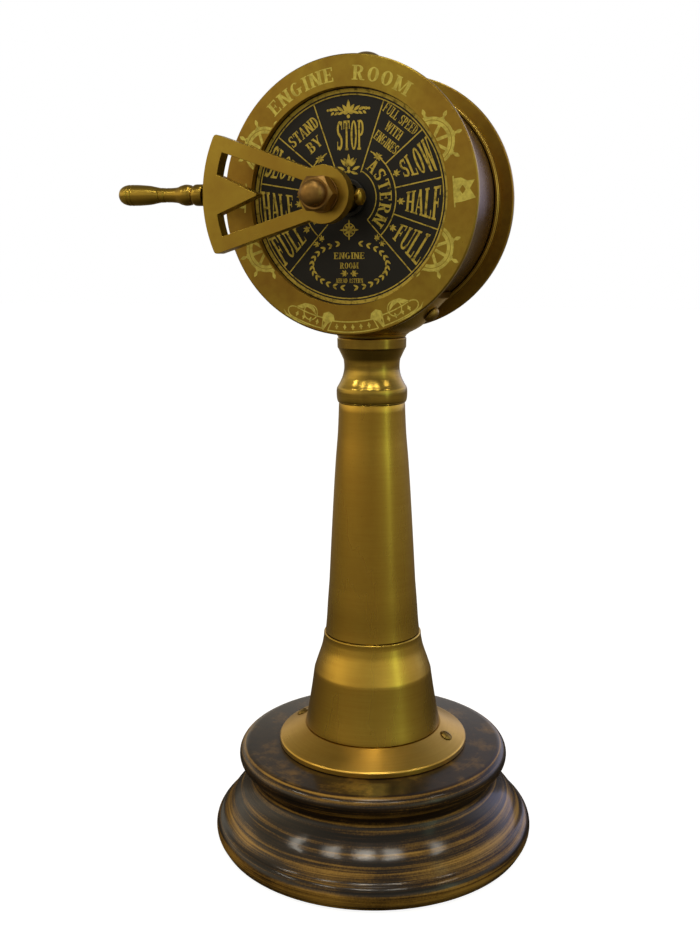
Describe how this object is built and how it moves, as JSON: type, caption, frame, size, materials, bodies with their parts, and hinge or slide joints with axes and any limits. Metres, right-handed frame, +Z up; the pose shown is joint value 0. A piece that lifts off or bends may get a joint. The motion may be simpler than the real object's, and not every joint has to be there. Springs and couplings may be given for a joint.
{
  "type": "ship engine telegraph",
  "caption": "Tabletop brass ship engine telegraph: double-faced drum on a tapered column and turned wooden base, with order levers, reply pointers and a bell inside.",
  "frame": {"origin": "centre of the base's underside, on the column's axis, at table height", "axes": "+Z up; -Y is the way the front dial faces; -X is the way the levers point at rest"},
  "size_m": [0.172, 0.152, 0.36],
  "materials": {
    "dark_wood": "dark stained and varnished, glossy",
    "green_felt": "pressed felt",
    "steel": "turned, lightly oiled",
    "column_brass": "polished, aged to olive gold",
    "screw_brass": "dull, slotted heads",
    "drum_brass": "polished, tarnished",
    "plate_brass": "satin, with pale printed ornament",
    "dial_black": "black lacquer with gold print",
    "bright_brass": "machined",
    "lever_brass": "cast and polished",
    "nut_brass": "polished, darkened",
    "pointer_brass": "polished"
  },
  "bodies": {
    "stand": {"wood_base": "dark_wood", "felt_pad": "green_felt", "tie_rod": "steel", "base_nut": "steel", "base_washer": "steel", "head_nut": "steel", "foot_flange": "column_brass", "flange_screw_left": "screw_brass", "flange_screw_right": "screw_brass", "column_bell": "column_brass", "column_tube": "column_brass", "neck_collar": "column_brass", "drum_saddle": "column_brass", "saddle_screw_left": "screw_brass", "saddle_screw_right": "screw_brass", "drum_shell": "drum_brass", "front_plate": "plate_brass", "rear_plate": "plate_brass", "front_dial": "dial_black", "rear_dial": "dial_black", "front_web": "drum_brass", "rear_web": "drum_brass", "front_bush": "dial_black", "rear_bush": "dial_black", "vent_cap": "column_brass", "bell_gong": "bright_brass", "bell_post": "bright_brass", "bell_screw": "bright_brass", "hammer_pin": "steel", "hammer_spring": "steel"},
    "lever_gear": {"main_shaft": "steel", "star_wheel": "bright_brass", "front_lever": "lever_brass", "rear_lever": "lever_brass", "front_handle": "lever_brass", "rear_handle": "lever_brass", "front_washer": "lever_brass", "rear_washer": "lever_brass", "front_cap_nut": "nut_brass", "rear_cap_nut": "nut_brass"},
    "front_reply": {"front_pointer": "pointer_brass"},
    "rear_reply": {"rear_pointer": "pointer_brass"},
    "hammer": {"bell_hammer": "bright_brass"}
  },
  "joints": [
    {"name": "lever_turn", "type": "hinge", "parent": "stand", "child": "lever_gear", "pos_m": [0, 0, 0.2985], "axis": [0, 1, 0], "range_deg": [-34.75, 211.75]},
    {"name": "front_pointer_turn", "type": "hinge", "parent": "stand", "child": "front_reply", "pos_m": [0, -0.0361, 0.2985], "axis": [0, 1, 0], "range_deg": [-34.75, 211.75]},
    {"name": "rear_pointer_turn", "type": "hinge", "parent": "stand", "child": "rear_reply", "pos_m": [0, 0.0361, 0.2985], "axis": [0, 1, 0], "range_deg": [-34.75, 211.75]},
    {"name": "hammer_swing", "type": "hinge", "parent": "stand", "child": "hammer", "pos_m": [0.025, 0.0115, 0.3035], "axis": [0, 1, 0], "range_deg": [-2.2, 10], "stiffness_Nm_per_rad": 0.02}
  ]
}
